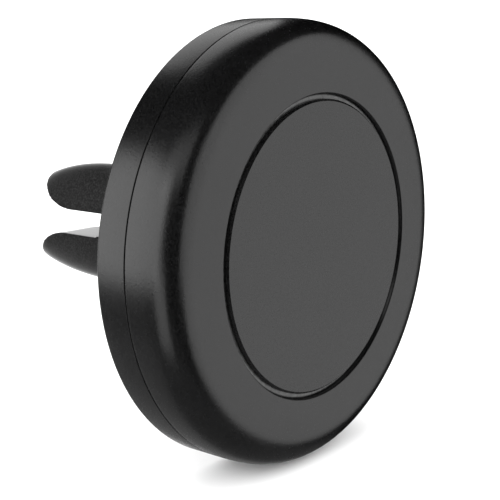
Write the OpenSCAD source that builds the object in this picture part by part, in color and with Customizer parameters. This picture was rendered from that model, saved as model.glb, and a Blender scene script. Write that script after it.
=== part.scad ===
// Magnetic phone mount for a car's air vent. The origin is the centre of the front face,
// which faces -Y. The clip runs back along +Y, and +Z is up. All sizes are in millimetres.

/* [Head] */
// Outside diameter of the head
head_d = 42; // [41:0.5:46]
// Thickness of the head, from its face to its back
head_t = 8.1; // [8:0.1:9]
// Distance from the face to the seam between the two shells
seam_y = 4.85; // [4.6:0.05:5]
// Width of the shadow gap at the seam
seam_gap = 0.1; // [0.1:0.05:0.3]
// How far the rounded shoulder reaches in over the face
shoulder_w = 3.4; // [2:0.1:4]
// Squareness of the shoulder: 2 is an ellipse, more is squarer
shoulder_n = 3; // [2:0.1:4]
// Thickness of the shells' side walls
wall_t = 1.6; // [1.4:0.1:1.8]

/* [Face pad] */
// Diameter of the pad in the face
pad_d = 27.5; // [24:0.1:28]
// Thickness of the pad
pad_t = 0.4; // [0.4:0.1:0.6]
// Thickness of the adhesive film under the pad
film_t = 0.05; // [0.05:0.05:0.2]
// Width of the groove round the pad
groove_w = 0.5; // [0.4:0.1:1]

/* [Magnets] */
// Number of magnets in the ring
magnet_count = 6; // [4:1:6]
// Diameter of each magnet
magnet_d = 8; // [6:0.5:8.5]
// Thickness of each magnet
magnet_t = 2.5; // [2:0.1:2.5]
// Diameter of the circle that the magnets stand on
magnet_circle_d = 19.6; // [19:0.2:20]
// Thickness of the steel plate behind the magnets
yoke_t = 0.8; // [0.5:0.1:0.8]

/* [Screws] */
// Number of screws that join the shells
screw_count = 3; // [3:1:4]
// Diameter of the circle that the screws stand on
screw_circle_d = 33.8; // [33.6:0.1:33.9]
// Diameter of the screw heads
screw_head_d = 2.8; // [2.4:0.1:2.8]

/* [Ball joint] */
// Distance from the face to the centre of the ball
ball_y = 13.3; // [13.2:0.1:13.8]
// Diameter of the ball
ball_d = 10; // [9.6:0.1:10]
// Thickness of the friction liner round the ball
seat_t = 0.8; // [0.6:0.1:0.8]
// Clearance between surfaces that turn on each other
run_gap = 0.05; // [0.03:0.01:0.06]
// Outside diameter of the socket's thread
thread_d = 14; // [13.8:0.1:14.2]
// Outside diameter of the lock nut
nut_d = 18; // [17:0.5:18]
// Number of grip flutes round the lock nut
nut_flutes = 20; // [12:1:22]
// Diameter of the stem behind the ball
stem_d = 4.6; // [4:0.1:4.6]

/* [Vent clip] */
// Height of the clip over both fingers
clip_h = 12.8; // [12.4:0.1:13]
// Width of the fingers
clip_w = 5.8; // [5.6:0.1:7]
// Height of the slot between the fingers
slot_h = 2.7; // [2.4:0.1:3.2]
// How far the clip's axis lies below the ball's
clip_drop = 0.4; // [0:0.1:0.5]
// Distance from the face to the front of the clip's hub
hub_y = 21; // [21:0.1:22]
// Thickness of the hub
hub_t = 3.5; // [3.5:0.1:4]
// Width of the hub
hub_w = 7; // [6.8:0.1:8]
// Distance from the face to the upper finger's tip
tip_y = 36.5; // [36:0.1:38]
// How much longer the lower finger is
lower_extra = 1.1; // [0:0.1:2]
// Number of grip ribs on each finger's inner wall
rib_count = 2; // [0:1:2]
// Height of the grip ribs
rib_h = 0.2; // [0.1:0.05:0.3]

/* [Hidden] */

round_fn = 96;
small_fn = 32;
hex_fn = 6;
over = 0.5;                 // how far a cutter runs past what it cuts

dark = [0.17, 0.17, 0.18];
pad_grey = [0.19, 0.19, 0.20];
rubber = [0.13, 0.13, 0.14];
steel = [0.72, 0.73, 0.75];

// Head, as distances behind the face
head_r = head_d / 2;
cavity_r = head_r - wall_t;
pad_r = pad_d / 2;
pocket_r = pad_r + groove_w;
pocket_y = pad_t + film_t;
plate_y = 1.5;              // back of the front shell's face plate
floor_y = head_t - 1.5;     // inside of the back shell
rim_chamfer = 0.25;
shoulder_steps = 20;

// Lip of the back shell that slips inside the front shell
lip_r = cavity_r - 0.05;
lip_t = 0.85;
lip_y = seam_y - 1.25;

// Magnet stack
stack_r = 15.2;
carrier_t = magnet_t + 0.1;
yoke_y = plate_y + carrier_t + 0.05;
yoke_r = stack_r - 0.2;
foam_y = yoke_y + yoke_t;

// Screws and their bosses
screw_r = 0.55;
screw_head_r = screw_head_d / 2 - 0.05;
screw_front_y = plate_y + 1.1;
boss_r = 1.5;
boss_y = seam_y + 0.15;     // where the two shells' bosses meet
pilot_gap = 0.05;
sink_y = head_t - 0.9;      // front of each countersink
sink_mouth_y = head_t - 0.2;
drive_w = 0.35;
drive_depth = 0.5;

// Socket, as distances behind the face
ball_r = ball_d / 2;
seat_in_r = ball_r + run_gap;
seat_out_r = seat_in_r + seat_t;
socket_r = seat_out_r + run_gap;
seat_end_y = ball_y + 1.4;
socket_end_y = ball_y + 2.3;
thread_r = thread_d / 2;
collar_r = thread_r + 0.6;
collar_gap = 0.05;
flange_r = 9;
flange_t = 1;
flange_y = floor_y - flange_t;
recess_r = 10.4;
recess_depth = 0.5;
thread_pitch = 1;
thread_depth = 0.3;
thread_start_y = head_t + 1.5;
slit_count = 4;
slit_w = 0.8;

// Lock nut
nut_r = nut_d / 2;
nut_y = head_t + 0.9;
nut_end_y = ball_y + 4;
nut_bore_r = thread_r + 0.05;
nut_step_y = socket_end_y + 0.2;
lip_ball_r = socket_r + 0.1;
lip_open_r = 4.9;
lip_open_y = ball_y + sqrt(pow(lip_ball_r, 2) - pow(lip_open_r, 2));
lip_flare = 0.4;
nut_front_chamfer = 0.6;
nut_back_chamfer = 1;
flute_r = 0.7;

// Ball and stud
pin_r = 1.5;
ball_back = 4.5;            // flat on the ball's back, behind its centre
rivet_r = 2.1;
rivet_front = 4.4;          // ends of the rivet head, ahead of the ball's centre
rivet_back = 3.7;
stem_r = stem_d / 2;
stud_flange_r = 3.2;
stud_flange_t = 0.8;
shank_r = 1.5;

// Clip
hub_r = clip_h / 2;
hub_chamfer = 0.6;
hub_end_y = hub_y + hub_t;
root_y = hub_end_y + 0.3;   // where the fingers start
stud_end_y = hub_end_y - 0.1;
m3_flats = 5.5;
m3_nut_t = 1.7;
m3_nut_y = hub_end_y - m3_nut_t - 0.05;
nut_pocket_gap = 0.05;
stop_w = clip_w - 0.2;
stop_h = slot_h - 0.4;
stop_t = 0.9;

// Finger outline: where each taper starts and how square it is
crown_y = tip_y - 9.1;      // the outer surface starts to slope in
crown_len = 14.2;
crown_n = 2.05;
plan_y = tip_y - 2.4;       // the sides start to close in
plan_len = 4;
plan_n = 3;
mouth_y = tip_y - 5.1;      // the slot starts to flare
mouth_len = 5.7;
mouth_h = 5.1;
rib_pitch = 0.7;
rib_y = root_y + 0.8;
section_step = 0.25;
arc_steps = 18;

// Stiff tongue and steel leaf, as heights from the clip's axis
core_z = 3;
core_top_z = 5;
core_w = 3;
core_tip_w = 1.8;
core_bend_y = root_y + 3.7;
core_end_y = root_y + 7.7;
leaf_w = 2;
leaf_t = 0.4;
leaf_z = 4;
leaf_y = hub_y + 1.6;
leaf_end_y = core_end_y - 1;
leaf_gap = 0.25;            // room round the leaf's root in the hub
leaf_side_gap = 0.4;

// Puts a shape that is drawn along +Z on an axis that runs back from the face
module along(y = 0) {
    translate([0, y, 0])
        rotate([-90, 0, 0])
            children();
}

// Turns an outline of [radius, distance behind the face] about the head's axis
module turned() {
    along() rotate_extrude($fn = round_fn) children();
}

// A disc between two distances behind the face
module disc(r, y0, y1, fn = round_fn) {
    along(y0) cylinder(r = r, h = y1 - y0, $fn = fn);
}

// A half-plane slab of an outline, from the axis out to r
module band(r, y0, y1) {
    translate([0, y0]) square([r, y1 - y0]);
}

// Repeats its children round the head's axis, the first one straight up
module around(count, r) {
    for (i = [0 : count - 1])
        rotate([0, -90 - i * 360 / count, 0])
            translate([r, 0, 0])
                children();
}

// One point of the front shell's shoulder: 0 is the side, 90 is the face
function shoulder_point(a) = [
    head_r - shoulder_w + shoulder_w * pow(abs(cos(a)), 2 / shoulder_n),
    seam_y - seam_y * pow(abs(sin(a)), 2 / shoulder_n)
];

module front_shell() {
    shoulder = [for (i = [shoulder_steps : -1 : 1]) shoulder_point(i * 90 / shoulder_steps)];
    end_y = seam_y - seam_gap / 2;
    outline = concat(
        [[0, pocket_y], [pocket_r, pocket_y], [pocket_r, 0]],
        shoulder,
        [[head_r, end_y], [cavity_r, end_y], [cavity_r, plate_y], [0, plate_y]]);
    color(dark)
    difference() {
        union() {
            turned() polygon(outline);
            around(screw_count, screw_circle_d / 2)
                disc(boss_r, plate_y - over / 2, boss_y, small_fn);
        }
        around(screw_count, screw_circle_d / 2)
            disc(screw_r + pilot_gap, screw_front_y - 0.2, boss_y + over, small_fn);
    }
}

module face_pad() {
    color(pad_grey) disc(pad_r, 0, pad_t);
}

module pad_film() {
    color("white") disc(pad_r - 0.2, pad_t, pad_t + film_t);
}

module magnet_carrier() {
    color([0.3, 0.3, 0.32])
    difference() {
        disc(stack_r, plate_y, plate_y + carrier_t);
        around(magnet_count, magnet_circle_d / 2)
            disc(magnet_d / 2 + run_gap, plate_y - over, plate_y + carrier_t + over, small_fn);
        disc(3, plate_y - over, plate_y + carrier_t + over, small_fn);
    }
}

module magnets() {
    chamfer = 0.2;
    y0 = plate_y + run_gap;
    r = magnet_d / 2;
    color(steel)
    around(magnet_count, magnet_circle_d / 2)
        along(y0) rotate_extrude($fn = small_fn)
            polygon([[0, 0], [r - chamfer, 0], [r, chamfer], [r, magnet_t - chamfer],
                     [r - chamfer, magnet_t], [0, magnet_t]]);
}

module yoke_plate() {
    color(steel)
    difference() {
        disc(yoke_r, yoke_y, yoke_y + yoke_t);
        disc(2, yoke_y - over, yoke_y + yoke_t + over, small_fn);
    }
}

module foam_disc() {
    color([0.25, 0.25, 0.25]) disc(flange_r, foam_y, flange_y);
}

module back_shell() {
    start_y = seam_y + seam_gap / 2;
    outline = [
        [lip_r - lip_t, lip_y], [lip_r, lip_y], [lip_r, start_y],
        [head_r, start_y], [head_r, head_t - rim_chamfer], [head_r - rim_chamfer, head_t],
        [recess_r, head_t], [recess_r, head_t - recess_depth],
        [collar_r + collar_gap, head_t - recess_depth], [collar_r + collar_gap, floor_y],
        [lip_r - lip_t, floor_y]];
    color(dark)
    difference() {
        union() {
            turned() polygon(outline);
            around(screw_count, screw_circle_d / 2)
                disc(boss_r, boss_y, floor_y + over, small_fn);
        }
        around(screw_count, screw_circle_d / 2) {
            disc(screw_r + 2 * pilot_gap, boss_y - over, sink_mouth_y, small_fn);
            along(sink_y)
                cylinder(r1 = screw_r + 2 * pilot_gap, r2 = screw_head_r + 2 * pilot_gap,
                         h = sink_mouth_y - sink_y, $fn = small_fn);
            disc(screw_head_r + 2 * pilot_gap, sink_mouth_y, head_t + over, small_fn);
        }
    }
}

module shell_screws() {
    top_y = head_t - 0.1;
    color(steel)
    around(screw_count, screw_circle_d / 2)
    difference() {
        along() rotate_extrude($fn = small_fn)
            polygon([[0, screw_front_y], [screw_r, screw_front_y + screw_r], [screw_r, sink_y],
                     [screw_head_r, sink_mouth_y], [screw_head_r, top_y], [0, top_y]]);
        for (turn = [0, 90])
            along(top_y - drive_depth) rotate(turn)
                translate([-screw_head_d * 0.3, -drive_w / 2, 0])
                    cube([screw_head_d * 0.6, drive_w, drive_depth + over]);
    }
}

module socket_cup() {
    color([0.22, 0.22, 0.23])
    difference() {
        turned() difference() {
            union() {
                band(flange_r, flange_y, floor_y);
                band(collar_r, floor_y, head_t);
                band(thread_r, head_t, socket_end_y);
            }
            translate([0, ball_y]) circle(r = socket_r, $fn = round_fn);
            for (y = [thread_start_y : thread_pitch : socket_end_y - 0.3])
                translate([thread_r, y])
                    rotate(45) square(thread_depth * sqrt(2), center = true);
        }
        for (i = [0 : slit_count - 1])
            rotate([0, 45 + i * 360 / slit_count, 0])
                translate([socket_r - 2, thread_start_y, -slit_w / 2])
                    cube([thread_r - socket_r + 3, socket_end_y - thread_start_y + over, slit_w]);
    }
}

module ball_seat() {
    color([0.85, 0.85, 0.82])
    turned() intersection() {
        translate([0, ball_y]) difference() {
            circle(r = seat_out_r, $fn = round_fn);
            circle(r = seat_in_r, $fn = round_fn);
        }
        band(seat_out_r + over, ball_y - seat_out_r - over, seat_end_y);
    }
}

module lock_nut() {
    outline = [
        [0, nut_y], [nut_r - nut_front_chamfer, nut_y], [nut_r, nut_y + nut_front_chamfer],
        [nut_r, nut_end_y - nut_back_chamfer], [nut_r - nut_back_chamfer, nut_end_y],
        [0, nut_end_y]];
    flare = [
        [0, lip_open_y], [lip_open_r, lip_open_y], [lip_open_r + lip_flare, nut_end_y],
        [lip_open_r + lip_flare, nut_end_y + over], [0, nut_end_y + over]];
    color(dark)
    difference() {
        turned() difference() {
            polygon(outline);
            band(nut_bore_r, nut_y - over, nut_step_y);
            translate([0, ball_y]) circle(r = lip_ball_r, $fn = round_fn);
            polygon(flare);
        }
        around(nut_flutes, nut_r + flute_r / 2)
            disc(flute_r, nut_y - over, nut_end_y + over, small_fn);
    }
}

module ball() {
    color(steel)
    turned() difference() {
        intersection() {
            translate([0, ball_y]) circle(r = ball_r, $fn = round_fn);
            band(ball_r + over, ball_y - ball_r - over, ball_y + ball_back);
        }
        band(pin_r + run_gap, ball_y - ball_r - over, ball_y + ball_r);
        band(rivet_r + run_gap, ball_y - ball_r - over, ball_y - rivet_back + run_gap);
    }
}

module ball_stud() {
    flange_front_y = hub_y - stud_flange_t;
    stem_y = ball_y + ball_back + run_gap;
    color(steel)
    turned() polygon([
        [0, ball_y - rivet_front], [rivet_r, ball_y - rivet_front],
        [rivet_r, ball_y - rivet_back], [pin_r, ball_y - rivet_back],
        [pin_r, stem_y], [stem_r, stem_y], [stem_r, flange_front_y],
        [stud_flange_r, flange_front_y], [stud_flange_r, hub_y],
        [shank_r, hub_y], [shank_r, stud_end_y], [0, stud_end_y]]);
}

// A hexagon with flats up and down
module hex(flats, y0, y1) {
    along(y0) cylinder(d = flats / cos(30), h = y1 - y0, $fn = hex_fn);
}

// Room in the hub for the root of a finger's leaf
module leaf_pocket() {
    translate([-leaf_w / 2 - leaf_side_gap, leaf_y - leaf_side_gap, leaf_z - leaf_t / 2 - leaf_gap])
        cube([leaf_w + 2 * leaf_side_gap, hub_end_y - leaf_y + leaf_side_gap + over,
              leaf_t + 2 * leaf_gap]);
}

// Places the upper finger's shapes, or the lower finger's as their mirror image
module clip_side(lower) {
    translate([0, 0, -clip_drop])
        if (lower) mirror([0, 0, 1]) children();
        else children();
}

module clip_hub() {
    color(dark)
    difference() {
        translate([0, 0, -clip_drop]) intersection() {
            turned() polygon([
                [0, hub_y], [hub_r - hub_chamfer, hub_y], [hub_r, hub_y + hub_chamfer],
                [hub_r, hub_end_y], [0, hub_end_y]]);
            translate([-hub_w / 2, hub_y - over, -clip_h])
                cube([hub_w, hub_t + 2 * over, 2 * clip_h]);
        }
        disc(shank_r + run_gap, hub_y - over, hub_end_y + over, small_fn);
        hex(m3_flats + 2 * nut_pocket_gap, m3_nut_y - nut_pocket_gap, hub_end_y + over);
        clip_side(false) leaf_pocket();
        clip_side(true) leaf_pocket();
    }
}

module stud_nut() {
    color(steel)
    difference() {
        hex(m3_flats, m3_nut_y, m3_nut_y + m3_nut_t);
        disc(shank_r + 0.02, m3_nut_y - over, m3_nut_y + m3_nut_t + over, small_fn);
    }
}

module blade_stop() {
    color(rubber)
    translate([-stop_w / 2, hub_end_y, -clip_drop - stop_h / 2])
        cube([stop_w, stop_t, stop_h]);
}

// Share of the full size that is left at u of the way down a taper
function taper(u, n) = pow(max(0, 1 - pow(max(0, u), n)), 1 / n);

// Height of the finger's outer surface over the clip's axis
function crown_z(y) = clip_h / 2 * taper((y - crown_y) / crown_len, crown_n);

// Half the finger's width
function half_w(y) = clip_w / 2 * taper((y - plan_y) / plan_len, plan_n);

// How far a grip rib stands out of the inner wall
function rib(y) =
    let (t = (y - rib_y) / rib_pitch)
    t < -0.5 || t > rib_count - 0.5 ? 0 : rib_h * max(0, cos(360 * t));

// Height of the finger's inner wall over the clip's axis
function wall_z(y) =
    let (u = max(0, (y - mouth_y) / mouth_len))
    slot_h / 2 - rib(y) + mouth_h * (1 - sqrt(1 - u * u));

// One ring of points round a finger at y, whose tip is moved back by extra
function ring(y, extra) =
    let (top = crown_z(y - extra), wall = wall_z(y - extra), w = half_w(y - extra),
         edge = asin(wall / top))
    [for (i = [0 : arc_steps])
        let (a = edge + (180 - 2 * edge) * i / arc_steps)
        [w * cos(a), y, top * sin(a)]];

// A whole finger, lofted from its root to its tip
module finger_body(extra) {
    count = ceil((tip_y + extra - root_y) / section_step);
    n = arc_steps + 1;
    points = [for (s = [0 : count])
        each ring(root_y + (tip_y + extra - root_y) * s / count, extra)];
    sides = [for (s = [0 : count - 1], i = [0 : n - 1])
        let (a = s * n + i, b = s * n + (i + 1) % n)
        each [[a, b, b + n], [a, b + n, a + n]]];
    root = [[for (i = [n - 1 : -1 : 0]) i]];
    tip = [[for (i = [0 : n - 1]) count * n + i]];
    polyhedron(points = points, faces = concat(sides, root, tip));
}

// The stiff tongue, without its slot for the leaf
module core_body() {
    translate([0, 0, core_z])
        linear_extrude(core_top_z - core_z)
            polygon([[-core_w / 2, root_y], [core_w / 2, root_y], [core_w / 2, core_bend_y],
                     [core_tip_w / 2, core_end_y], [-core_tip_w / 2, core_end_y],
                     [-core_w / 2, core_bend_y]]);
}

module leaf_body() {
    translate([-leaf_w / 2, leaf_y, leaf_z - leaf_t / 2])
        cube([leaf_w, leaf_end_y - leaf_y, leaf_t]);
}

module finger_core(lower) {
    color([0.3, 0.3, 0.32])
    clip_side(lower) difference() {
        core_body();
        leaf_body();
    }
}

module finger_leaf(lower) {
    color(steel) clip_side(lower) leaf_body();
}

module finger_boot(lower) {
    color(rubber)
    clip_side(lower) difference() {
        finger_body(lower ? lower_extra : 0);
        core_body();
    }
}

module upper_core() finger_core(false);
module upper_leaf() finger_leaf(false);
module upper_boot() finger_boot(false);
module lower_core() finger_core(true);
module lower_leaf() finger_leaf(true);
module lower_boot() finger_boot(true);

front_shell();
face_pad();
pad_film();
magnet_carrier();
magnets();
yoke_plate();
foam_disc();
back_shell();
shell_screws();
socket_cup();
ball_seat();
lock_nut();
ball();
ball_stud();
clip_hub();
stud_nut();
blade_stop();
upper_core();
upper_leaf();
upper_boot();
lower_core();
lower_leaf();
lower_boot();
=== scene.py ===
"""A round magnetic phone mount for a car's air vent, standing on its edge in a white studio.

The CAD frame gives the places and the main sizes. The shells, the pad, the lock nut and the two
finger boots are rebuilt here as fine meshes of the same size. The other pieces are the CAD's own,
some with softened edges. Every piece gets a procedural material. The face looks along -Y, and Z
is up.
"""
import math

import bmesh
import bpy
from mathutils import Matrix, Vector


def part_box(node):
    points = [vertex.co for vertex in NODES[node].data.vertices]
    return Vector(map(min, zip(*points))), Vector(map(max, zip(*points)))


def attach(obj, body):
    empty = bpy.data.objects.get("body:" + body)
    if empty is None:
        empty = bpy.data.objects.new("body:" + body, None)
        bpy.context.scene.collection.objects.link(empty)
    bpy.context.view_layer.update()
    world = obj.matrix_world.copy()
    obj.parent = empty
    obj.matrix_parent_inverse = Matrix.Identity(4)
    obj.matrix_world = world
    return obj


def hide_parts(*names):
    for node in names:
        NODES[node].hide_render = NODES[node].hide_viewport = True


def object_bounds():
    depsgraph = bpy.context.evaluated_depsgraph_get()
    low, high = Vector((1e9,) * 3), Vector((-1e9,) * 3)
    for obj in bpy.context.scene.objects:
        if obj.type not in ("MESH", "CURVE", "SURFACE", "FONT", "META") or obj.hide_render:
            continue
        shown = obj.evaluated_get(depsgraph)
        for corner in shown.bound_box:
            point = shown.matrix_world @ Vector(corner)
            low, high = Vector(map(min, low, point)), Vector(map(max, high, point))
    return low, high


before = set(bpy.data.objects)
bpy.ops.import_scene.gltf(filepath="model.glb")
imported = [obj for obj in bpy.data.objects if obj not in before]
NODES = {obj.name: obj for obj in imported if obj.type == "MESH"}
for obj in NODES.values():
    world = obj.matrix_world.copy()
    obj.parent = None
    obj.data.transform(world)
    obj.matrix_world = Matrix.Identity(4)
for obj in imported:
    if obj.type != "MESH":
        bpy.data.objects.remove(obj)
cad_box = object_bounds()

MM = 0.001


# ---------------------------------------------------------------- sizes

def low(node):
    """The lowest x, y and z of a CAD node."""
    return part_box(node)[0]


def high(node):
    """The highest x, y and z of a CAD node."""
    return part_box(node)[1]


# Sizes come from the frame's boxes. Those that no box shows are in MM, and repeat part.scad's
# apart from the rounding of fine edges.
HEAD_R = high("front_shell").x
FACE_Y = low("face_pad").y
BACK_Y = high("back_shell").y
PAD_R = high("face_pad").x
PAD_Y = high("face_pad").y
POCKET_Y = high("pad_film").y
PLATE_Y = low("magnet_carrier").y
LIP_L = 1.25 * MM
SEAM_Y = low("back_shell").y + LIP_L
SEAM_GAP = 0.1 * MM
GROOVE_W = 0.5 * MM
WALL_T = 1.6 * MM
SHOULDER_W = 3.4 * MM
SHOULDER_POWER = 3.0
FINE_EDGE = 0.06 * MM

# Screws and the bosses that they join
BOSS_R = 1.5 * MM
BOSS_Y = high("front_shell").y
SCREW_Y = low("shell_screws").y
SCREW_HEAD_R = 1.35 * MM
SCREWS = 3
OVERLAP = 0.2 * MM
CUT_PAST = 1.0 * MM

# The ball's centre, by the flat on its back
BALL_BACK = 4.5 * MM
BALL_Y = high("ball").y - BALL_BACK

# The clip, by its hub and by the rubber stop in its slot
STOP_GAP_X = 0.1 * MM
STOP_GAP_Z = 0.2 * MM
CLIP_Z = (low("clip_hub").z + high("clip_hub").z) / 2
CLIP_H = high("clip_hub").z - low("clip_hub").z
CLIP_W = high("blade_stop").x - low("blade_stop").x + 2 * STOP_GAP_X
SLOT_H = high("blade_stop").z - low("blade_stop").z + 2 * STOP_GAP_Z
ROOT_Y = low("upper_boot").y


# ---------------------------------------------------------------- mesh helpers

def new_object(name, mesh):
    """A new object in the scene."""
    piece = bpy.data.objects.new(name, mesh)
    bpy.context.scene.collection.objects.link(piece)
    return piece


def smooth(piece, angle=32):
    """Smooth shading, with edges sharper than angle kept crisp."""
    piece.data.shade_smooth()
    piece.data.set_sharp_from_angle(angle=math.radians(angle))
    return piece


def arc(centre_r, centre_y, radius, start, end, steps=6):
    """Points of a round corner in an outline of (radius, y). Angles are in degrees."""
    points = []
    for i in range(steps + 1):
        a = math.radians(start + (end - start) * i / steps)
        points.append((centre_r + radius * math.cos(a), centre_y + radius * math.sin(a)))
    return points


def lathe(name, outline, segments=256, radius_at=None):
    """A closed solid from an outline of (radius, y) turned about the Y axis.

    The outline either starts and ends on the axis or is a closed ring. radius_at(r, angle) may
    change the radius round the turn.
    """
    bm = bmesh.new()
    rings = []
    for r, y in outline:
        if r == 0:
            rings.append([bm.verts.new((0, y, 0))])
            continue
        ring = []
        for s in range(segments):
            a = 2 * math.pi * s / segments
            radius = radius_at(r, a) if radius_at else r
            ring.append(bm.verts.new((radius * math.cos(a), y, radius * math.sin(a))))
        rings.append(ring)
    pairs = list(zip(rings, rings[1:]))
    if outline[0][0] > 0:
        pairs.append((rings[-1], rings[0]))
    for ring_a, ring_b in pairs:
        for s in range(segments):
            t = (s + 1) % segments
            if len(ring_a) == 1:
                bm.faces.new((ring_a[0], ring_b[s], ring_b[t]))
            elif len(ring_b) == 1:
                bm.faces.new((ring_a[s], ring_b[0], ring_a[t]))
            else:
                bm.faces.new((ring_a[s], ring_b[s], ring_b[t], ring_a[t]))
    bmesh.ops.recalc_face_normals(bm, faces=bm.faces)
    mesh = bpy.data.meshes.new(name)
    bm.to_mesh(mesh)
    bm.free()
    return new_object(name, mesh)


def rod(radius, start_y, end_y):
    """The outline of a plain round rod."""
    return [(0, start_y), (radius, start_y), (radius, end_y), (0, end_y)]


def bake_modifiers(piece):
    """Turns a piece's modifiers into plain mesh."""
    depsgraph = bpy.context.evaluated_depsgraph_get()
    mesh = bpy.data.meshes.new_from_object(piece.evaluated_get(depsgraph))
    piece.modifiers.clear()
    piece.data = mesh


def combine(piece, other, operation, keep_other=False):
    """Cuts other out of a piece, or joins it on."""
    modifier = piece.modifiers.new("combine", type="BOOLEAN")
    modifier.operation = operation
    modifier.solver = "EXACT"
    modifier.object = other
    bake_modifiers(piece)
    if not keep_other:
        bpy.data.objects.remove(other)


def screw_places():
    """The middle of each shell screw, as (x, z). The first is at the top."""
    ring_r = high("shell_screws").z - SCREW_HEAD_R
    return [(ring_r * math.cos(a), ring_r * math.sin(a))
            for a in (math.radians(90 + 360 / SCREWS * i) for i in range(SCREWS))]


def at_screws(name, outline):
    """One small turned solid at each screw, in one object."""
    parts = []
    for x, z in screw_places():
        part = lathe(name, outline, segments=48)
        part.data.transform(Matrix.Translation((x, 0, z)))
        parts.append(part)
    first = parts[0]
    for part in parts[1:]:
        bm = bmesh.new()
        bm.from_mesh(first.data)
        bm.from_mesh(part.data)
        bm.to_mesh(first.data)
        bm.free()
        bpy.data.objects.remove(part)
    return first


# ---------------------------------------------------------------- head

def shoulder(steps=72):
    """The rounded shoulder, from the face out to the side: a quarter of a superellipse."""
    points = []
    for i in range(steps + 1):
        a = math.radians(90 * (1 - i / steps))
        out = abs(math.cos(a)) ** (2 / SHOULDER_POWER)
        back = 1 - abs(math.sin(a)) ** (2 / SHOULDER_POWER)
        points.append((HEAD_R - SHOULDER_W + SHOULDER_W * out,
                       FACE_Y + (SEAM_Y - FACE_Y) * back))
    return points


def make_front_shell():
    """The face ring, the pad's pocket, the shoulder and the front of the side, with its bosses."""
    pocket_r = PAD_R + GROOVE_W
    pocket_edge = 0.09 * MM
    pocket_draft = 0.14 * MM
    cavity_r = HEAD_R - WALL_T
    end_y = SEAM_Y - SEAM_GAP / 2
    pilot_r = 0.6 * MM
    side = [(r, y) for r, y in shoulder() if y < end_y - FINE_EDGE]
    outline = ([(0, POCKET_Y), (pocket_r / 2, POCKET_Y), (pocket_r - pocket_draft, POCKET_Y),
                (pocket_r, FACE_Y + pocket_edge), (pocket_r + pocket_edge, FACE_Y)]
               + side[1:]
               + arc(HEAD_R - FINE_EDGE, end_y - FINE_EDGE, FINE_EDGE, 0, 90)
               + [(cavity_r, end_y), (cavity_r, PLATE_Y), (0, PLATE_Y)])
    shell = lathe("front_shell_mesh", outline)
    boss = rod(BOSS_R, PLATE_Y - OVERLAP, BOSS_Y)
    pilot = rod(pilot_r, SCREW_Y - OVERLAP, BOSS_Y + CUT_PAST)
    combine(shell, at_screws("bosses", boss), "UNION")
    combine(shell, at_screws("pilots", pilot), "DIFFERENCE")
    smooth(shell)
    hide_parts("front_shell")
    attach(shell, "head")
    return shell


def make_back_shell():
    """The back of the side and the back plate, with its recess, bosses and screw holes."""
    start_y = SEAM_Y + SEAM_GAP / 2
    lip_gap = 0.05 * MM
    lip_t = 0.85 * MM
    lip_y = low("back_shell").y
    lip_r = HEAD_R - WALL_T - lip_gap
    lip_in_r = lip_r - lip_t
    floor_y = BACK_Y - 1.5 * MM
    recess_r = 10.4 * MM
    recess_y = BACK_Y - 0.5 * MM
    collar_r = 7.65 * MM
    rim = 0.25 * MM
    outline = ([(lip_in_r, lip_y), (lip_r, lip_y), (lip_r, start_y)]
               + arc(HEAD_R - FINE_EDGE, start_y + FINE_EDGE, FINE_EDGE, -90, 0)
               + arc(HEAD_R - rim, BACK_Y - rim, rim, 0, 90, steps=10)
               + arc(recess_r + FINE_EDGE, BACK_Y - FINE_EDGE, FINE_EDGE, 90, 180)
               + [(recess_r, recess_y), (collar_r, recess_y), (collar_r, floor_y),
                  (lip_in_r, floor_y)])
    shell = lathe("back_shell_mesh", outline)
    boss = rod(BOSS_R, BOSS_Y, floor_y + OVERLAP)
    combine(shell, at_screws("bosses", boss), "UNION")

    start_y = BOSS_Y - CUT_PAST
    clear_r = 0.65 * MM
    sink_r = 1.45 * MM
    sink_y = BACK_Y - 0.9 * MM
    mouth_y = BACK_Y - 0.2 * MM
    edge = 0.05 * MM
    hole = [(0, start_y), (clear_r, start_y), (clear_r, sink_y), (sink_r, mouth_y),
            (sink_r, BACK_Y - edge), (sink_r + 2 * edge, BACK_Y + edge), (0, BACK_Y + edge)]
    combine(shell, at_screws("sinks", hole), "DIFFERENCE")
    smooth(shell)
    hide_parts("back_shell")
    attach(shell, "head")
    return shell


def make_face_pad():
    """The round pad, level with the face, with a small chamfer round it."""
    chamfer = 0.2 * MM
    outline = [(0, FACE_Y), (PAD_R / 2, FACE_Y), (PAD_R - chamfer, FACE_Y),
               (PAD_R, FACE_Y + chamfer), (PAD_R, PAD_Y), (0, PAD_Y)]
    pad = smooth(lathe("face_pad_mesh", outline))
    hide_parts("face_pad")
    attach(pad, "head")
    return pad


# ---------------------------------------------------------------- lock nut

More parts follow.
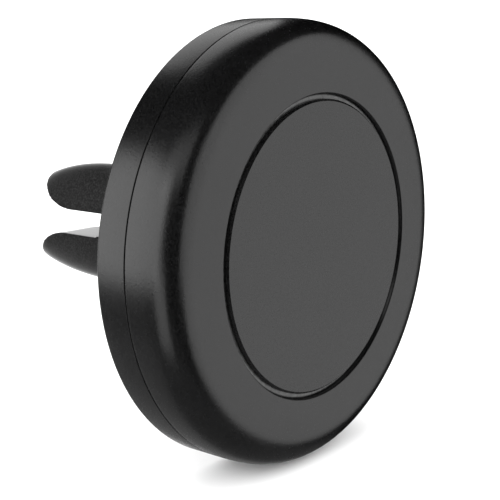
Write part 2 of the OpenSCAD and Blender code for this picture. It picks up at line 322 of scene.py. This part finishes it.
def make_lock_nut():
    """The fluted ring nut: a turned ring whose outside dips into each flute."""
    radius = high("lock_nut").z
    front_y = low("lock_nut").y
    back_y = high("lock_nut").y
    flutes = 20
    flute_r = 0.7 * MM
    flute_centre = radius + flute_r / 2
    bore_r = 7.05 * MM
    step_y = high("socket_cup").y + 0.2 * MM
    dome_r = 6.0 * MM
    open_r = 4.9 * MM
    flare = 0.4 * MM
    outside = radius * 0.8
    open_angle = math.degrees(math.acos(open_r / dome_r))
    step_angle = math.degrees(math.asin((step_y - BALL_Y) / dome_r))
    front = 0.6 * MM
    back = 1.0 * MM
    edge = 0.12 * MM
    rows = 6

    def fluted(r, angle):
        """The radius with the flutes cut in. Only the outside has them."""
        pitch = 2 * math.pi / flutes
        turn = (angle - math.pi / 2 + pitch / 2) % pitch - pitch / 2
        across = flute_centre * math.sin(turn)
        if r < outside or abs(across) >= flute_r:
            return r
        dip = flute_centre * math.cos(turn) - math.sqrt(flute_r ** 2 - across ** 2)
        return min(r, dip)

    outline = (arc(radius - front, front_y + front, front, -90, 0, steps=8)
               + [(radius, front_y + (back_y - front_y) * k / rows) for k in range(1, rows - 1)]
               + arc(radius - back, back_y - back, back, 0, 90, steps=10)
               + arc(open_r + flare + edge, back_y - edge, edge, 90, 180, steps=4)
               + arc(0, BALL_Y, dome_r, open_angle, step_angle, steps=8)
               + [(bore_r, step_y)]
               + arc(bore_r + edge, front_y + edge, edge, 180, 270, steps=4))
    nut = smooth(lathe("lock_nut_mesh", outline, segments=flutes * 24, radius_at=fluted), 40)
    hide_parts("lock_nut")
    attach(nut, "nut")
    return nut


# ---------------------------------------------------------------- fingers

def taper(u, power):
    """Share of the full size left at u of the way down a taper."""
    return max(0, 1 - max(0, u) ** power) ** (1 / power)


class Finger:
    """The cross-section of a finger at each y, with heights taken from the clip's axis.

    The crown is the rounded outside, and the wall is the inside, along the slot. The crown and
    the sides taper in and the slot's mouth flares out, each from its START before the tip.
    """
    CROWN_START, CROWN_L, CROWN_POWER = 9.1 * MM, 14.2 * MM, 2.05
    SIDE_START, SIDE_L, SIDE_POWER = 2.4 * MM, 4 * MM, 3
    MOUTH_START, MOUTH_L, MOUTH_H = 5.1 * MM, 5.7 * MM, 5.1 * MM
    RIBS, RIB_START, RIB_PITCH, RIB_H = 2, 0.8 * MM, 0.7 * MM, 0.2 * MM

    def __init__(self, tip_y, longer):
        """longer is how far the tip stands out past the upper finger's."""
        self.tip_y = tip_y
        self.rib_y = ROOT_Y + longer + self.RIB_START

    def crown(self, y):
        """The height of the outside."""
        u = (y - self.tip_y + self.CROWN_START) / self.CROWN_L
        return CLIP_H / 2 * taper(u, self.CROWN_POWER)

    def half_width(self, y):
        """Half the width across X."""
        u = (y - self.tip_y + self.SIDE_START) / self.SIDE_L
        return CLIP_W / 2 * taper(u, self.SIDE_POWER)

    def wall(self, y):
        """The height of the inside."""
        u = max(0, (y - self.tip_y + self.MOUTH_START) / self.MOUTH_L)
        flare = self.MOUTH_H * (1 - math.sqrt(max(0, 1 - u * u)))
        return SLOT_H / 2 - self.rib(y) + flare

    def rib(self, y):
        """How far the grip ribs stand out of the wall at y."""
        t = (y - self.rib_y) / self.RIB_PITCH
        if t < -0.5 or t > self.RIBS - 0.5:
            return 0
        return self.RIB_H * max(0, math.cos(2 * math.pi * t))

    def ring(self, y, side, crown_steps=56, wall_steps=20):
        """Points round the finger at y: the crown, then the wall back to the start."""
        top, wall, width = self.crown(y), self.wall(y), self.half_width(y)
        start = math.asin(min(0.999, wall / top))
        points = []
        for i in range(crown_steps + 1):
            a = start + (math.pi - 2 * start) * i / crown_steps
            points.append((width * math.cos(a), top * math.sin(a)))
        edge = points[0][0]
        for i in range(1, wall_steps):
            points.append((edge * (2 * i / wall_steps - 1), wall))
        return [(x, y, CLIP_Z + side * z) for x, z in points]


def fit_box(piece, node):
    """Stretches a mesh by a hair, so that its box is the same as the CAD node's."""
    lo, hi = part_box(node)
    for axis in range(3):
        values = [v.co[axis] for v in piece.data.vertices]
        start, length = min(values), max(values) - min(values)
        for v in piece.data.vertices:
            v.co[axis] = lo[axis] + (v.co[axis] - start) / length * (hi[axis] - lo[axis])


def make_boot(name, body, side):
    """A rubber boot: the finger's loft, remeshed and relaxed so that every edge is soft.

    side is 1 for the upper finger and -1 for the lower one.
    """
    tip_y = high(name).y
    finger = Finger(tip_y, tip_y - high("upper_boot").y)
    steps = 120
    bm = bmesh.new()
    rings = []
    for s in range(steps + 1):
        y = ROOT_Y + (tip_y - ROOT_Y) * s / steps
        rings.append([bm.verts.new(p) for p in finger.ring(y, side)])
    for ring_a, ring_b in zip(rings, rings[1:]):
        for i in range(len(ring_a)):
            j = (i + 1) % len(ring_a)
            bm.faces.new((ring_a[i], ring_a[j], ring_b[j], ring_b[i]))
    bm.faces.new(rings[0])
    bm.faces.new(rings[-1])
    bmesh.ops.recalc_face_normals(bm, faces=bm.faces)
    mesh = bpy.data.meshes.new(name + "_mesh")
    bm.to_mesh(mesh)
    bm.free()
    boot = new_object(name + "_mesh", mesh)
    even = boot.modifiers.new("even", type="REMESH")
    even.mode = "VOXEL"
    even.voxel_size = 0.11 * MM
    relax = boot.modifiers.new("relax", type="SMOOTH")
    relax.factor = 0.5
    relax.iterations = 10
    bake_modifiers(boot)
    fit_box(boot, name)
    combine(boot, NODES[name.replace("boot", "core")], "DIFFERENCE", keep_other=True)
    smooth(boot, 50)
    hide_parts(name)
    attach(boot, body)
    return boot


# ---------------------------------------------------------------- materials

def shader(name, colour, roughness, metallic=0.0, **sockets):
    """A new material with its Principled shader's constant sockets set."""
    material = bpy.data.materials.new(name)
    material.use_nodes = True
    tree = material.node_tree
    principled = tree.nodes["Principled BSDF"]
    principled.inputs["Base Color"].default_value = (*colour, 1)
    principled.inputs["Roughness"].default_value = roughness
    principled.inputs["Metallic"].default_value = metallic
    for socket, value in sockets.items():
        principled.inputs[socket.replace("_", " ")].default_value = value
    return material, tree, principled


def add(tree, kind, **values):
    """A node with the given input values; keys that aren't inputs are its own settings."""
    node = tree.nodes.new(kind)
    for key, value in values.items():
        label = key.replace("_", " ")
        if label in node.inputs:
            node.inputs[label].default_value = value
        else:
            setattr(node, key, value)
    return node


def noise(tree, scale, detail=4.0, roughness=0.55, stretch=None):
    """Noise in the object's own metres. stretch squeezes the pattern along X, Y and Z."""
    place = add(tree, "ShaderNodeTexCoord")
    source = place.outputs["Object"]
    if stretch:
        mapping = add(tree, "ShaderNodeMapping", Scale=stretch)
        tree.links.new(source, mapping.inputs["Vector"])
        source = mapping.outputs["Vector"]
    texture = add(tree, "ShaderNodeTexNoise", Scale=scale, Detail=detail, Roughness=roughness)
    tree.links.new(source, texture.inputs["Vector"])
    return texture.outputs["Fac"]


def ramp(tree, source, stops):
    """Maps 0..1 to the colours or greys in stops, a list of (position, colour or grey)."""
    node = tree.nodes.new("ShaderNodeValToRGB")
    elements = node.color_ramp.elements
    while len(elements) < len(stops):
        elements.new(0.5)
    for element, (position, colour) in zip(elements, stops):
        element.position = position
        element.color = (*colour, 1) if isinstance(colour, tuple) else (colour,) * 3 + (1,)
    tree.links.new(source, node.inputs["Fac"])
    return node.outputs["Color"]


def span(tree, source, low_value, high_value):
    """Maps 0..1 to low_value..high_value."""
    node = add(tree, "ShaderNodeMapRange")
    node.inputs["To Min"].default_value = low_value
    node.inputs["To Max"].default_value = high_value
    tree.links.new(source, node.inputs["Value"])
    return node.outputs["Result"]


def bump(tree, principled, layers):
    """Bumps the surface by each (height source, depth in metres)."""
    normal = None
    for source, depth in layers:
        node = add(tree, "ShaderNodeBump", Distance=depth, Strength=1.0)
        tree.links.new(source, node.inputs["Height"])
        if normal:
            tree.links.new(normal, node.inputs["Normal"])
        normal = node.outputs["Normal"]
    tree.links.new(normal, principled.inputs["Normal"])


def moulded(name, grey, rough, grain=0.004 * MM):
    """Moulded plastic: a fine matt texture with specks, and a slight drift in colour and gloss."""
    material, tree, principled = shader(name, (grey, grey, grey), rough)
    cloud = noise(tree, scale=220, detail=3)
    grains = noise(tree, scale=5200, detail=3, roughness=0.6)
    specks = noise(tree, scale=9000, detail=2)
    darker, paler = grey * 0.86, grey * 1.14
    shade = ramp(tree, cloud, [(0.3, (darker, darker, grey * 0.88)),
                               (0.7, (paler, paler, grey * 1.18))])
    speck_shade = ramp(tree, specks, [(0.4, 0.2), (0.7, 1.7)])
    mix = add(tree, "ShaderNodeMix", data_type="RGBA", blend_type="MULTIPLY")
    mix.inputs["Factor"].default_value = 1.0
    tree.links.new(shade, mix.inputs["A"])
    tree.links.new(speck_shade, mix.inputs["B"])
    tree.links.new(mix.outputs["Result"], principled.inputs["Base Color"])
    tree.links.new(span(tree, grains, rough - 0.07, rough + 0.07),
                   principled.inputs["Roughness"])
    bump(tree, principled, [(grains, grain), (specks, grain * 0.5)])
    return material


def paint_pocket_highlight(material, radius, grey=0.04):
    """Paints a pale speckle inside a radius, on the floor of the round pocket behind the pad: a
    painted highlight that makes the groove's floor look as lit as the face.
    """
    fade = 0.15 * MM
    tree = material.node_tree
    principled = tree.nodes["Principled BSDF"]
    plain_colour = principled.inputs["Base Color"].links[0].from_socket
    place = add(tree, "ShaderNodeTexCoord")
    flat = add(tree, "ShaderNodeVectorMath", operation="MULTIPLY")
    flat.inputs[1].default_value = (1, 0, 1)
    tree.links.new(place.outputs["Object"], flat.inputs[0])
    reach = add(tree, "ShaderNodeVectorMath", operation="LENGTH")
    tree.links.new(flat.outputs["Vector"], reach.inputs[0])
    inside = add(tree, "ShaderNodeMapRange")
    inside.inputs["From Min"].default_value = radius
    inside.inputs["From Max"].default_value = radius - fade
    tree.links.new(reach.outputs["Value"], inside.inputs["Value"])
    # The pale speckle is a painted highlight on the pocket's floor.
    highlight_speckle = ramp(tree, noise(tree, scale=1800), [(0.3, grey * 0.5), (0.7, grey * 1.4)])
    mix = add(tree, "ShaderNodeMix", data_type="RGBA")
    tree.links.new(inside.outputs["Result"], mix.inputs["Factor"])
    tree.links.new(plain_colour, mix.inputs["A"])
    tree.links.new(highlight_speckle, mix.inputs["B"])
    tree.links.new(mix.outputs["Result"], principled.inputs["Base Color"])


def metal(name, colour, rough, stretch, depth=0.002 * MM):
    """Bare metal with fine streaks, squeezed by stretch along each axis, and a slight tarnish."""
    material, tree, principled = shader(name, colour, rough, metallic=1.0)
    streaks = noise(tree, scale=900, detail=6, roughness=0.7, stretch=stretch)
    tarnish = noise(tree, scale=160, detail=3)
    dark = tuple(c * 0.78 for c in colour)
    tree.links.new(ramp(tree, tarnish, [(0.3, dark), (0.75, colour)]),
                   principled.inputs["Base Color"])
    tree.links.new(span(tree, streaks, rough - 0.1, rough + 0.14),
                   principled.inputs["Roughness"])
    bump(tree, principled, [(streaks, depth)])
    return material


def silicone(name, grey, rough):
    """Black silicone rubber: nearly matt, with a sheen at grazing angles and a fine pale dusting.
    """
    material, tree, principled = shader(name, (grey, grey, grey), rough, Sheen_Weight=1.0,
                                        Sheen_Roughness=0.28, Specular_IOR_Level=0.08)
    bloom = noise(tree, scale=300)
    skin = noise(tree, scale=5200, detail=3)
    tree.links.new(ramp(tree, skin, [(0.42, grey * 0.5), (0.7, grey * 7)]),
                   principled.inputs["Base Color"])
    tree.links.new(span(tree, bloom, rough - 0.06, rough + 0.08),
                   principled.inputs["Roughness"])
    bump(tree, principled, [(skin, 0.004 * MM)])
    return material


def foam(name):
    """Closed-cell foam: round dark cells."""
    material, tree, principled = shader(name, (0.03, 0.03, 0.03), 0.9)
    place = add(tree, "ShaderNodeTexCoord")
    cells = add(tree, "ShaderNodeTexVoronoi", Scale=2600.0)
    tree.links.new(place.outputs["Object"], cells.inputs["Vector"])
    tree.links.new(ramp(tree, cells.outputs["Distance"], [(0.1, 0.015), (0.6, 0.05)]),
                   principled.inputs["Base Color"])
    bump(tree, principled, [(cells.outputs["Distance"], 0.05 * MM)])
    return material


def dress(piece, material):
    """Gives a piece one material and no other."""
    piece.data.materials.clear()
    piece.data.materials.append(material)


def soften(node, width):
    """Small round edges on a CAD node, by modifiers only."""
    piece = NODES[node]
    weld = piece.modifiers.new("weld", type="WELD")
    weld.merge_threshold = 0.002 * MM
    bevel = piece.modifiers.new("edge", type="BEVEL")
    bevel.width = width
    bevel.segments = 3
    bevel.limit_method = "ANGLE"
    bevel.angle_limit = math.radians(35)
    bevel.harden_normals = True


# ---------------------------------------------------------------- studio

HEAD_MIDDLE = Vector((0, BACK_Y, 0))


def direction(azimuth, elevation):
    """A unit vector away from the object: azimuth 0 is the front, -Y, and 90 is +X."""
    a, e = math.radians(azimuth), math.radians(elevation)
    return Vector((math.sin(a) * math.cos(e), -math.cos(a) * math.cos(e), math.sin(e)))


def softbox(name, azimuth, elevation, wide, tall, radiance, distance=16):
    """A soft area light that faces the head, at a distance in head radii.

    wide and tall are the angles that it takes up as the head sees it.
    """
    reach = distance * HEAD_R
    data = bpy.data.lights.new(name, "AREA")
    data.shape = "RECTANGLE"
    data.size = 2 * reach * math.tan(math.radians(wide / 2))
    data.size_y = 2 * reach * math.tan(math.radians(tall / 2))
    data.energy = radiance * math.pi * data.size * data.size_y
    light = bpy.data.objects.new(name, data)
    bpy.context.scene.collection.objects.link(light)
    away = direction(azimuth, elevation)
    light.location = HEAD_MIDDLE + away * reach
    light.rotation_euler = (-away).to_track_quat("-Z", "Y").to_euler()
    light.visible_camera = False


def make_camera():
    """The camera stands to the left of the face and a little above it, at the photo's angle.

    Its distance, and how far it aims beside the head's middle, are in head radii.
    """
    azimuth, elevation = -51.33, 10.75
    distance, aim_right, aim_up = 5.038, -0.0193, -0.0540
    back = direction(azimuth, elevation)
    turn = (-back).to_track_quat("-Z", "Y")
    right = turn @ Vector((1, 0, 0))
    up = turn @ Vector((0, 1, 0))
    aim = HEAD_MIDDLE + (right * aim_right + up * aim_up) * HEAD_R
    data = bpy.data.cameras.new("camera")
    data.lens = 78.1
    data.sensor_width = 36
    data.clip_start = 0.005
    data.clip_end = 20
    camera = bpy.data.objects.new("camera", data)
    bpy.context.scene.collection.objects.link(camera)
    camera.location = aim + back * distance * HEAD_R
    camera.rotation_euler = turn.to_euler()
    bpy.context.scene.camera = camera


def make_floor():
    """A wide white sheet just under the head's rim.

    It shows the head's shadow, but the head doesn't see it, and light from below passes it.
    """
    half_width = 120 * HEAD_R
    gap = 0.02 * MM
    bm = bmesh.new()
    bmesh.ops.create_grid(bm, x_segments=8, y_segments=8, size=half_width)
    mesh = bpy.data.meshes.new("floor")
    bm.to_mesh(mesh)
    bm.free()
    floor = new_object("floor", mesh)
    floor.location = (0, 0, cad_box[0][2] - gap)
    white = (0.92, 0.92, 0.92)
    material, _tree, _principled = shader("floor", white, 0.9, Specular_IOR_Level=0.0)
    dress(floor, material)
    floor.visible_glossy = False
    floor.visible_diffuse = False
    floor.visible_shadow = False


def make_world():
    """White all round, for the camera and for diffuse light. Only the softboxes are reflected."""
    world = bpy.data.worlds.new("studio")
    world.use_nodes = True
    background = world.node_tree.nodes["Background"]
    background.inputs["Color"].default_value = (1, 1, 1, 1)
    background.inputs["Strength"].default_value = 1.8
    world.cycles_visibility.glossy = False
    bpy.context.scene.world = world
    bpy.context.scene.view_settings.view_transform = "Standard"


def make_lights():
    """Lights for the side from the left, for the face from the front, and weaker ones behind."""
    softbox("back_left", -116, 11, 66, 50, 2.6)
    softbox("left_edge", -78, 12, 10, 46, 0.9)
    softbox("left_low", -80, -25, 30, 34, 1.4)
    softbox("left_high", -72, 40, 54, 24, 1.0)
    softbox("front", 34, 3, 40, 62, 1.44)
    softbox("front_right", 61, 3, 14, 62, 1.03)
    softbox("front_left", 5, 6, 20, 38, 1.25)
    softbox("back_top", 145, 40, 34, 32, 1.0)
    softbox("back", 170, -20, 60, 40, 0.85)
    softbox("floor_back", 180, -40, 110, 50, 0.14)
    softbox("floor_glow", 0, -88, 100, 100, 0.14, distance=8)


# ---------------------------------------------------------------- build

front_shell = make_front_shell()
back_shell = make_back_shell()
pad = make_face_pad()
nut = make_lock_nut()
boots = [make_boot("upper_boot", "upper_finger", 1), make_boot("lower_boot", "lower_finger", -1)]

BLACK = 0.004
SHELL_GRAIN = 0.009 * MM
# The pocket's floor inside this radius gets a painted highlight.
POCKET_HIGHLIGHT_R = PAD_R + GROOVE_W - 0.1 * MM
dress(back_shell, moulded("shell_plastic", BLACK, 0.25, grain=SHELL_GRAIN))
front_plastic = moulded("front_shell_plastic", BLACK, 0.25, grain=SHELL_GRAIN)
# A painted highlight on the pocket's floor, round the pad.
paint_pocket_highlight(front_plastic, POCKET_HIGHLIGHT_R)
dress(front_shell, front_plastic)
dress(nut, moulded("nut_plastic", BLACK, 0.3))
dress(pad, moulded("pad_plastic", BLACK, 0.26, grain=0.003 * MM))
boot_rubber = silicone("boot_silicone", 0.002, 0.5)
for boot in boots:
    dress(boot, boot_rubber)

nylon = moulded("nylon", 0.02, 0.5)
steel = metal("turned_steel", (0.55, 0.55, 0.57), 0.3, (1, 12, 1))
nickel = metal("nickel", (0.66, 0.65, 0.62), 0.2, (3, 3, 3))
spring = metal("spring_steel", (0.5, 0.5, 0.52), 0.3, (8, 1, 8))
zinc = metal("zinc", (0.36, 0.36, 0.38), 0.38, (2, 2, 2))
polished = metal("polished_ball", (0.6, 0.6, 0.62), 0.14, (1, 1, 1), depth=0.0005 * MM)
for node, material in (
        ("socket_cup", nylon), ("magnet_carrier", nylon), ("upper_core", nylon),
        ("lower_core", nylon), ("clip_hub", moulded("hub_plastic", 0.012, 0.45)),
        ("blade_stop", silicone("stop_rubber", 0.003, 0.6)),
        ("ball_seat", moulded("acetal", 0.7, 0.35)),
        ("pad_film", moulded("adhesive_film", 0.65, 0.4)),
        ("foam_disc", foam("foam")), ("ball", polished), ("ball_stud", steel),
        ("stud_nut", zinc), ("shell_screws", zinc), ("yoke_plate", zinc),
        ("magnets", nickel), ("upper_leaf", spring), ("lower_leaf", spring)):
    dress(NODES[node], material)
for node, width in (("clip_hub", 0.2), ("blade_stop", 0.2), ("socket_cup", 0.08),
                    ("ball_stud", 0.1), ("shell_screws", 0.04), ("stud_nut", 0.1)):
    soften(node, width * MM)

make_camera()
make_floor()
make_world()
make_lights()
